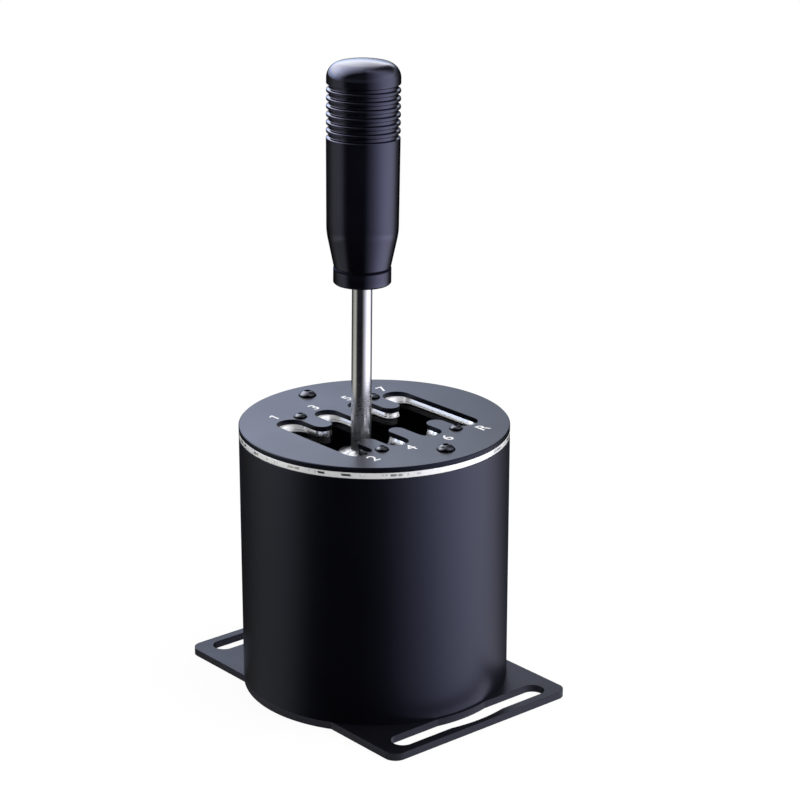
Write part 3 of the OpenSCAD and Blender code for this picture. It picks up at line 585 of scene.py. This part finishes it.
def polished_plate(finishes):
    """The steel plate, its rim rounded and its opening polished to a lead-in."""
    low, high = (corner[2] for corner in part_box("wear_plate"))
    rim, *holes = outline("wear_plate")
    opening = max(holes, key=ring_length)
    lead_in = polished_opening(low, high, OPENING_EDGE, OPENING_LEAD)
    rings, profiles, eases = [rim], [rounded_rim(low, high, RIM_EDGE)], [full]
    for hole in holes:
        rings.append(hole)
        profiles.append(lead_in if hole is opening else [(0.0, low), (0.0, high)])
        eases.append(less_by_first_lane if hole is opening else full)
    plate = lofted_plate("polished_plate", rings, profiles, eases)
    plate.data.materials.append(finishes["polished_steel"])
    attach(plate, "housing")
    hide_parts("wear_plate")


# Knob, in millimetres and with heights from its foot, which lies at KNOB_FOOT

KNOB_STEPS = 128
CORNER_STEPS, CAP_STEPS, CROWN_STEPS = 4, 14, 8
# The most of a side that the rounding of a corner takes
CORNER_SHARE = 0.48
KNOB_FOOT = 169.0 * MM
BORE_EDGE, NECK_EDGE, LEDGE_EDGE = 0.2, 0.3, 0.15
BORE_R, BORE_L = 6.02, 36.05
NECK_R, NECK_L, NECK_STEP, NECK_CHAMFER = 11.3, 6.5, 0.25, 0.6
SHOULDER = (14.0, 20.5)
SHOULDER_R = 26.0
KNOB_R = 14.25
GROOVES, GROOVES_AT, GROOVE_PITCH, GROOVE_DEPTH = 7, 57.44, 3.097, 1.0
GROOVE_FLANK, RIDGE = 0.5, 0.997
LIP_R, ROOT_R = 0.42, 0.22
CAP_R, CROWN_R, KNOB_TOP = 6.0, 42.94, 87.17


def rounded(corners):
    """A path through corners (r, z, radius), each rounded to its radius."""
    path = []
    for i, (r, z, radius) in enumerate(corners):
        at = Vector((r, z))
        if not radius:
            path.append(at)
            continue
        back = Vector(corners[i - 1][:2]) - at
        ahead = Vector(corners[i + 1][:2]) - at
        half = back.angle(ahead) / 2
        reach = min(radius / math.tan(half), CORNER_SHARE * back.length, CORNER_SHARE * ahead.length)
        start, end = at + back.normalized() * reach, at + ahead.normalized() * reach
        for k in range(CORNER_STEPS + 1):
            share = k / CORNER_STEPS
            path.append(start.lerp(at, share).lerp(at.lerp(end, share), share))
    return path


def knob_profile():
    """Half of the knob's section in millimetres, from the end of its bore round to its crown."""
    corners = [
        (0.0, BORE_L, 0), (BORE_R, BORE_L, 0), (BORE_R, 0.0, BORE_EDGE),
        (NECK_R - NECK_CHAMFER, 0.0, NECK_EDGE), (NECK_R, NECK_CHAMFER, NECK_EDGE),
        (NECK_R, NECK_L - NECK_STEP, LEDGE_EDGE), (NECK_R - NECK_STEP, NECK_L, LEDGE_EDGE),
        (*SHOULDER, SHOULDER_R),
    ]
    for i in range(GROOVES):
        z = GROOVES_AT + i * GROOVE_PITCH
        top = z + GROOVE_PITCH - RIDGE
        corners += [
            (KNOB_R, z, LIP_R), (KNOB_R - GROOVE_DEPTH, z + GROOVE_FLANK, ROOT_R),
            (KNOB_R - GROOVE_DEPTH, top - GROOVE_FLANK, ROOT_R), (KNOB_R, top, LIP_R),
        ]
    flat = KNOB_R - CAP_R
    crown_z = KNOB_TOP - CROWN_R
    rise = math.sqrt((CROWN_R - CAP_R) ** 2 - flat ** 2)
    corners.append((KNOB_R, crown_z + rise, 0))
    path = rounded(corners)
    lean = math.atan2(rise, flat)
    for k in range(1, CAP_STEPS + 1):
        turn = lean * k / CAP_STEPS
        path.append(Vector((flat + CAP_R * math.cos(turn), crown_z + rise + CAP_R * math.sin(turn))))
    for k in range(1, CROWN_STEPS + 1):
        turn = lean + (math.pi / 2 - lean) * k / CROWN_STEPS
        path.append(Vector((CROWN_R * math.cos(turn), crown_z + CROWN_R * math.sin(turn))))
    return path


def turned(name, profile, foot, way):
    """A solid turned about a leaning axis from a profile (r, z) that starts and ends on the axis."""
    side = Vector((0.0, 1.0, 0.0))
    front = side.cross(way)
    points = [foot + way * (profile[0].y * MM)]
    for at in profile[1:-1]:
        for i in range(KNOB_STEPS):
            turn = 2 * math.pi * i / KNOB_STEPS
            out = front * math.cos(turn) + side * math.sin(turn)
            points.append(foot + way * (at.y * MM) + out * (at.x * MM))
    points.append(foot + way * (profile[-1].y * MM))
    rings = len(profile) - 2
    faces = []
    for i in range(KNOB_STEPS):
        j = (i + 1) % KNOB_STEPS
        faces.append((0, 1 + i, 1 + j))
        for ring in range(rings - 1):
            a, b = 1 + ring * KNOB_STEPS + i, 1 + ring * KNOB_STEPS + j
            faces.append((a, a + KNOB_STEPS, b + KNOB_STEPS, b))
        last = 1 + (rings - 1) * KNOB_STEPS
        faces.append((last + i, len(points) - 1, last + j))
    solid = mesh_object(name, points, faces)
    tidy_normals(solid)
    return solid


def turned_knob(finishes):
    """The knob with its ridges and edges rounded and its crown blended into its side."""
    shift = next(joint for joint in frame["joints"] if joint["name"] == "gear_shift")
    pivot = Vector(shift["pos_m"])
    way = Vector((shift["axis"][2], 0.0, -shift["axis"][0]))
    foot = pivot + way * ((KNOB_FOOT - pivot.z) / way.z)
    knob = turned("turned_knob", knob_profile(), foot, way)
    knob.data.materials.append(finishes["knob_black"])
    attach(knob, "lever")
    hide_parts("knob")


# Centring springs

SPRING_WIRE = 1.0 * MM
SPRING_COILS = 6
CLOSED_COILS = 1
# Pitch of the closed coils, in wires
CLOSED_PITCH = 1.02
COIL_STEPS = 40
WIRE_SIDES = 12


def coil_height(turn, climb):
    """Height of the wire's middle after some turns: the end coils lie flat on one another."""
    flat = SPRING_WIRE * CLOSED_PITCH
    open_pitch = (climb - 2 * CLOSED_COILS * flat) / (SPRING_COILS - 2 * CLOSED_COILS)
    if turn <= CLOSED_COILS:
        return flat * turn
    if turn >= SPRING_COILS - CLOSED_COILS:
        return climb - flat * (SPRING_COILS - turn)
    return flat * CLOSED_COILS + open_pitch * (turn - CLOSED_COILS)


def centring_spring(side, finishes):
    """A spring with closed ends in its CAD solid's place, its foot seated where the CAD solid's is."""
    node = side + "_centring_spring"
    low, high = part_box(node)
    middle = ((low[0] + high[0]) / 2, (low[1] + high[1]) / 2)
    wire = SPRING_WIRE / 2
    mean = (high[0] - low[0]) / 2 - wire
    climb = high[2] - low[2] - SPRING_WIRE
    count = SPRING_COILS * COIL_STEPS + 1
    points = []
    for i in range(count):
        turn = i / COIL_STEPS
        angle = 2 * math.pi * turn
        z = low[2] + wire + coil_height(turn, climb)
        for k in range(WIRE_SIDES):
            lean = 2 * math.pi * k / WIRE_SIDES
            reach = mean + wire * math.cos(lean)
            at = (middle[0] + reach * math.cos(angle), middle[1] + reach * math.sin(angle))
            points.append((*at, z + wire * math.sin(lean)))
    last_ring = range((count - 1) * WIRE_SIDES, count * WIRE_SIDES)
    faces = [tuple(range(WIRE_SIDES)), tuple(reversed(last_ring))]
    for i in range(count - 1):
        for k in range(WIRE_SIDES):
            a, b = i * WIRE_SIDES + k, i * WIRE_SIDES + (k + 1) % WIRE_SIDES
            faces.append((a, a + WIRE_SIDES, b + WIRE_SIDES, b))
    spring = mesh_object(side + "_coil", points, faces)
    tidy_normals(spring)
    spring.data.materials.append(finishes["spring_steel"])
    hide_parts(node)
    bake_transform(spring)


def centring_springs(finishes):
    for side in ("left", "right"):
        centring_spring(side, finishes)


# Gear marks

MARK_HEIGHT = 5.7 * MM
MARK_LIFT = 0.03 * MM
# How far the strokes swell on each side
MARK_BOLD = 0.05 * MM
# Height of the built-in typeface's capitals, as a share of its size
CAPITAL = 0.73
# The first gear's mark: its height, the width of its stroke, and how far its flag reaches out and down
ONE_HEIGHT = 5.0 * MM
ONE_STROKE = 0.9 * MM
ONE_FLAG = 1.7 * MM
ONE_DROP = 0.9 * MM
# Each mark's middle on the gate plate, in millimetres
MARKS = {
    "1": (-27.2, 29.6), "3": (-7.6, 28.9), "5": (10.0, 29.3), "7": (28.5, 29.2),
    "2": (-27.9, -33.2), "4": (-9.0, -33.1), "6": (9.3, -33.7), "R": (27.6, -33.8),
}


def typeface_mark(name, text):
    """A mark in the built-in typeface."""
    curve = bpy.data.curves.new(name, "FONT")
    curve.body = text
    curve.size = MARK_HEIGHT / CAPITAL
    curve.align_x = "CENTER"
    curve.align_y = "CENTER"
    curve.extrude = MARK_LIFT / 2
    curve.offset = MARK_BOLD
    mark = bpy.data.objects.new(name, curve)
    bpy.context.scene.collection.objects.link(mark)
    return mark


def flagged_one(name):
    """The figure 1 with its flag, which the built-in typeface leaves off."""
    side, top = ONE_STROKE / 2, ONE_HEIGHT / 2
    flag_top = top - ONE_DROP
    under_flag = top - ONE_STROKE - ONE_DROP * side / ONE_FLAG
    around = [
        (-side, -top), (side, -top), (side, top), (0.0, top),
        (-ONE_FLAG, flag_top), (-ONE_FLAG, flag_top - ONE_STROKE), (-side, under_flag),
    ]
    count = len(around)
    points = [(x, y, z) for z in (-MARK_LIFT / 2, MARK_LIFT / 2) for x, y in around]
    faces = [tuple(reversed(range(count))), tuple(range(count, 2 * count))]
    for i in range(count):
        j = (i + 1) % count
        faces.append((i, j, j + count, i + count))
    return mesh_object(name, points, faces)


def gear_marks():
    """The painted marks on the gate plate, their tops towards the front."""
    finish = mark_paint()
    for text, (x, y) in MARKS.items():
        name = "gear_mark_" + text
        mark = flagged_one(name) if text == "1" else typeface_mark(name, text)
        mark.location = (x * MM, y * MM, GATE_TOP + MARK_LIFT / 2)
        mark.data.materials.append(finish)
        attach(mark, "housing")


# Studio

FLOOR_HALF = 6.0
# The share of plain white in what the camera sees of the floor, near the object and far from it
FLOOR_WHITE_NEAR, FLOOR_WHITE_FAR = 0.93, 1.0
WORLD_LIGHT = 0.45


def floor_finish():
    """Pale floor that shows white to the camera and keeps a part of its shading."""
    f = Finish("floor")
    f.set(Roughness=0.9, Specular_IOR_Level=0.0)
    speck = f.noise(14.0, detail=3.0)
    f.colour(f.blend(speck, (0.90, 0.90, 0.90), (0.92, 0.92, 0.92)))
    light = f.add("ShaderNodeEmission")
    light.inputs["Color"].default_value = (1.0, 1.0, 1.0, 1.0)
    path = f.add("ShaderNodeLightPath")
    mix = f.add("ShaderNodeMixShader")
    _, radius, _ = f.around()
    share = f.range(radius, 0.30, 1.10, FLOOR_WHITE_NEAR, FLOOR_WHITE_FAR)
    f.link(f.math("MULTIPLY", path.outputs["Is Camera Ray"], share), mix.inputs["Fac"])
    f.link(f.shader.outputs["BSDF"], mix.inputs[1])
    f.link(light.outputs["Emission"], mix.inputs[2])
    f.link(mix.outputs["Shader"], f.tree.nodes["Material Output"].inputs["Surface"])
    return f.mat


def floor():
    corners = [(x * FLOOR_HALF, y * FLOOR_HALF, 0) for x, y in ((-1, -1), (1, -1), (1, 1), (-1, 1))]
    thing = mesh_object("floor", corners, [(0, 1, 2, 3)])
    thing.data.materials.append(floor_finish())
    thing.visible_glossy = False


def only_in_shine(thing):
    """A card that lights nothing and shows only in glossy surfaces."""
    for way in ("camera", "diffuse", "transmission", "volume_scatter", "shadow"):
        setattr(thing, "visible_" + way, False)


def glow(f, colour):
    """Make a finish glow in a colour, and reflect nothing."""
    light = f.add("ShaderNodeEmission")
    f.link(colour, light.inputs["Color"])
    f.link(light.outputs["Emission"], f.tree.nodes["Material Output"].inputs["Surface"])
    return f.mat


def ramp(f, value, stops):
    """The colour at a value, between stops of (value, colour)."""
    low, high = stops[0][0], stops[-1][0]
    node = f.add("ShaderNodeValToRGB")
    band = node.color_ramp
    while len(band.elements) < len(stops):
        band.elements.new(0.5)
    for element, (place, colour) in zip(band.elements, stops):
        element.position = (place - low) / (high - low)
        element.color = (*colour, 1.0)
    f.link(f.range(value, low, high, 0.0, 1.0), node.inputs["Fac"])
    return node.outputs["Color"]


def scaled(f, colour, share):
    node = f.add("ShaderNodeVectorMath", operation="SCALE")
    f.link(colour, node.inputs["Vector"])
    f.link(share, node.inputs["Scale"])
    return node.outputs["Vector"]


def summed(f, first, second):
    node = f.add("ShaderNodeVectorMath", operation="ADD")
    f.link(first, node.inputs[0])
    f.link(second, node.inputs[1])
    return node.outputs["Vector"]


def tinted(tint, level):
    return tuple(part * level for part in tint)


WARM = (1.0, 0.99, 0.92)
COOL = (0.88, 0.87, 1.0)
BLUE = (0.61, 0.72, 1.0)
PALE = (0.95, 0.96, 1.0)
DARK = (0.010, 0.010, 0.013)

# What upright surfaces mirror: colour by the angle to the right of the camera
ON_LEFT = (
    (-180, DARK), (-150, DARK), (-138, tinted(WARM, 0.015)), (-118, tinted(WARM, 0.11)),
    (-100, tinted(WARM, 0.31)), (-76, tinted(WARM, 0.41)), (-66, tinted(WARM, 0.30)),
    (-58, tinted(WARM, 0.08)), (-48, DARK), (0, DARK),
)
ON_RIGHT = (
    (0, DARK), (3, DARK), (9.5, tinted(COOL, 0.05)), (21, tinted(COOL, 0.24)), (34, tinted(COOL, 0.52)),
    (46, tinted(COOL, 0.83)), (60, tinted(COOL, 1.27)), (75, tinted(COOL, 1.56)), (92, tinted(COOL, 1.50)),
    (104, tinted(COOL, 1.16)), (114, tinted(COOL, 0.74)), (124, tinted(COOL, 0.24)), (142, DARK), (180, DARK),
)
# Their strength by the distance on the ring, which the housing, the rod and the knob mirror in that order
LEFT_FALL = ((0.0, 0.60), (0.30, 0.66), (0.49, 0.74), (0.54, 1.35), (0.67, 1.45), (0.71, 0.90), (2.2, 0.90))
RIGHT_FALL = (
    (0.0, 0.68), (0.24, 0.76), (0.40, 0.96), (0.50, 1.02), (0.57, 1.28), (0.65, 1.28), (0.72, 0.97),
    (2.2, 1.05),
)
# What level surfaces mirror, behind the object: colour by the height on the sky
BEHIND = (
    (0.0, DARK), (0.14, DARK), (0.20, tinted(PALE, 1.3)), (0.25, tinted(BLUE, 1.7)),
    (0.30, tinted(BLUE, 2.6)), (0.37, tinted(BLUE, 3.5)), (0.42, tinted(PALE, 3.2)),
    (0.52, tinted(PALE, 3.0)), (0.64, tinted(PALE, 2.3)), (0.78, tinted(PALE, 1.7)), (1.0, tinted(PALE, 1.2)),
)
# And before the object, which level surfaces mirror when seen from behind
BEFORE = (
    (0.0, DARK), (0.10, DARK), (0.17, tinted(PALE, 0.13)), (0.40, tinted(PALE, 0.13)),
    (0.55, tinted(PALE, 0.06)), (1.0, tinted(PALE, 0.06)),
)
RING_DEPTH = 0.06
RING_INNER, RING_OUTER = 0.03, 2.2
RING_STEPS = 96
SKY_RADIUS = 1.0
SKY_ROWS, SKY_STEPS = 24, 64
# Strength of the bright area high on the left, and width of the step at a strip's end
LEFT_GLARE = 4.4
STRIP_END = 1e-4


def from_camera(f):
    """The place measured to the right of the camera's view, towards the camera, and up."""
    parts = f.add("ShaderNodeSeparateXYZ")
    f.link(f.place, parts.inputs["Vector"])

    def along(way):
        x = f.math("MULTIPLY", parts.outputs["X"], way.x)
        return f.math("ADD", x, f.math("MULTIPLY", parts.outputs["Y"], way.y))

    return along(TO_RIGHT), along(TO_CAMERA), parts.outputs["Z"]


def around_colour(f, right, ahead, far=None):
    """The strips at an angle, each with its fall by the distance where one is given."""
    angle = f.math("ARCTAN2", right, ahead)
    total = None
    for stops, fall in ((ON_LEFT, LEFT_FALL), (ON_RIGHT, RIGHT_FALL)):
        strip = ramp(f, angle, [(math.radians(turn), colour) for turn, colour in stops])
        start, end = math.radians(stops[0][0]), math.radians(stops[-1][0])
        past_start = f.range(angle, start, start + STRIP_END, 0.0, 1.0)
        before_end = f.range(angle, end, end + STRIP_END, 1.0, 0.0)
        share = f.math("MULTIPLY", past_start, before_end)
        if far is not None:
            levels = [(place, (level,) * 3) for place, level in fall]
            share = f.math("MULTIPLY", share, ramp(f, far, levels))
        strip = scaled(f, strip, share)
        total = strip if total is None else summed(f, total, strip)
    return total


def ring_card():
    """A round sheet under the object, in place of the floor in its shine."""
    points = []
    for i in range(RING_STEPS):
        turn = 2 * math.pi * i / RING_STEPS
        for radius in (RING_INNER, RING_OUTER):
            points.append((radius * math.cos(turn), radius * math.sin(turn), -RING_DEPTH))
    count = len(points)
    faces = [(i, i + 1, (i + 3) % count, (i + 2) % count) for i in range(0, count, 2)]
    thing = mesh_object("ring_card", points, faces)
    f = Finish("ring_card")
    right, ahead, _ = from_camera(f)
    _, far, _ = f.around()
    thing.data.materials.append(glow(f, around_colour(f, right, ahead, far)))
    only_in_shine(thing)


def sky_finish():
    """Soft sky: tall strips at the sides, a bright band behind, and a bright area high on the left."""
    f = Finish("sky_card")
    right, ahead, z = from_camera(f)
    height = f.math("SUBTRACT", z, GATE_TOP)

    # The strips at the sides reach higher on the right
    on_right = f.range(right, 0.0, 0.1, 0.0, 1.0)
    right_fade = f.math("MULTIPLY", f.range(height, 0.50, 1.10, 1.0, 0.35), on_right)
    fade = f.math("MAXIMUM", f.range(height, 0.35, 0.80, 1.0, 0.0), right_fade)
    sides = scaled(f, around_colour(f, right, ahead), fade)

    # The band behind is dimmer to the right, both low and high
    low_share = f.range(right, -0.08, 0.12, 0.0, 0.76)
    high_share = f.range(right, -0.05, 0.28, 0.0, 0.85)
    low_dim = f.math("MULTIPLY", f.range(height, 0.34, 0.44, 1.0, 0.0), low_share)
    high_dim = f.math("MULTIPLY", f.range(height, 0.46, 0.58, 0.0, 1.0), high_share)
    lit = f.math("SUBTRACT", 1.0, f.math("ADD", low_dim, high_dim))
    lit = f.math("MULTIPLY", lit, f.range(right, 0.14, 0.42, 1.0, 0.10))
    behind = f.range(ahead, -0.30, 0.34, 1.0, 0.0)
    band = scaled(f, ramp(f, height, BEHIND), f.math("MULTIPLY", behind, lit))

    high = f.range(height, 0.42, 0.72, 0.0, 1.0)
    left = f.math("MULTIPLY", f.range(right, -0.70, 0.04, LEFT_GLARE, 0.0), high)
    left = f.math("MULTIPLY", left, f.range(ahead, -0.50, 0.42, 1.0, 0.0))
    glare = scaled(f, ramp(f, height, ((0.0, PALE), (1.0, PALE))), left)
    front = scaled(f, ramp(f, height, BEFORE), f.range(ahead, 0.30, 0.60, 0.0, 1.0))
    return glow(f, summed(f, summed(f, summed(f, sides, band), glare), front))


def sky_card():
    """A half round over the object, down to the ring card."""
    rows, steps = SKY_ROWS, SKY_STEPS
    foot = math.asin(-(GATE_TOP + RING_DEPTH) / SKY_RADIUS)
    points = []
    for row in range(rows):
        rise = foot + (math.pi / 2 - foot) * row / rows
        for i in range(steps):
            turn = 2 * math.pi * i / steps
            flat = SKY_RADIUS * math.cos(rise)
            up = GATE_TOP + SKY_RADIUS * math.sin(rise)
            points.append((flat * math.cos(turn), flat * math.sin(turn), up))
    points.append((0.0, 0.0, GATE_TOP + SKY_RADIUS))
    faces = []
    for row in range(rows - 1):
        for i in range(steps):
            a, b = row * steps + i, row * steps + (i + 1) % steps
            faces.append((a, b, b + steps, a + steps))
    last = (rows - 1) * steps
    faces += [(last + i, last + (i + 1) % steps, rows * steps) for i in range(steps)]
    thing = mesh_object("sky_card", points, faces)
    thing.data.materials.append(sky_finish())
    only_in_shine(thing)


def cards():
    ring_card()
    sky_card()


def softbox(name, turn, distance, height, size, power, aim):
    """A soft square lamp, at an angle to the right of the camera, that looks at a height on the axis."""
    lamp = bpy.data.lights.new(name, "AREA")
    lamp.shape = "SQUARE"
    lamp.size = size
    lamp.energy = power
    thing = bpy.data.objects.new(name, lamp)
    bpy.context.scene.collection.objects.link(thing)
    angle = math.radians(turn)
    at = (TO_CAMERA * math.cos(angle) + TO_RIGHT * math.sin(angle)) * distance
    thing.location = (at.x, at.y, height)
    way = Vector((0, 0, aim)) - thing.location
    thing.rotation_euler = way.to_track_quat("-Z", "Y").to_euler()
    thing.visible_camera = False
    thing.visible_glossy = False


def lights():
    softbox("key_right", turn=72, distance=0.95, height=0.75, size=0.9, power=9.0, aim=0.15)
    softbox("fill_left", turn=-100, distance=0.95, height=0.75, size=0.9, power=4.0, aim=0.15)
    softbox("top_box", turn=150, distance=0.25, height=1.15, size=1.0, power=9.0, aim=0.0)


def world():
    """Even light, white where the camera looks straight at it."""
    sky = bpy.data.worlds.new("studio")
    bpy.context.scene.world = sky
    sky.use_nodes = True
    tree = sky.node_tree
    shade = tree.nodes["Background"]
    shade.inputs["Color"].default_value = (1.0, 1.0, 1.0, 1.0)
    path = tree.nodes.new("ShaderNodeLightPath")
    level = tree.nodes.new("ShaderNodeMapRange")
    level.inputs["To Min"].default_value = WORLD_LIGHT
    level.inputs["To Max"].default_value = 1.0
    tree.links.new(path.outputs["Is Camera Ray"], level.inputs["Value"])
    tree.links.new(level.outputs["Result"], shade.inputs["Strength"])


def camera():
    lens = bpy.data.cameras.new("camera")
    lens.lens = CAMERA_LENS
    lens.sensor_width = SENSOR
    lens.sensor_fit = "HORIZONTAL"
    thing = bpy.data.objects.new("camera", lens)
    bpy.context.scene.collection.objects.link(thing)
    thing.location = CAMERA_AT
    thing.rotation_euler = (math.radians(90.0 - CAMERA_PITCH), 0.0, YAW)
    bpy.context.scene.camera = thing


bpy.context.scene.view_settings.view_transform = "Standard"
camera()
finishes = all_finishes()
dress_nodes(finishes)
polished_plate(finishes)
turned_knob(finishes)
centring_springs(finishes)
gear_marks()
floor()
cards()
lights()
world()
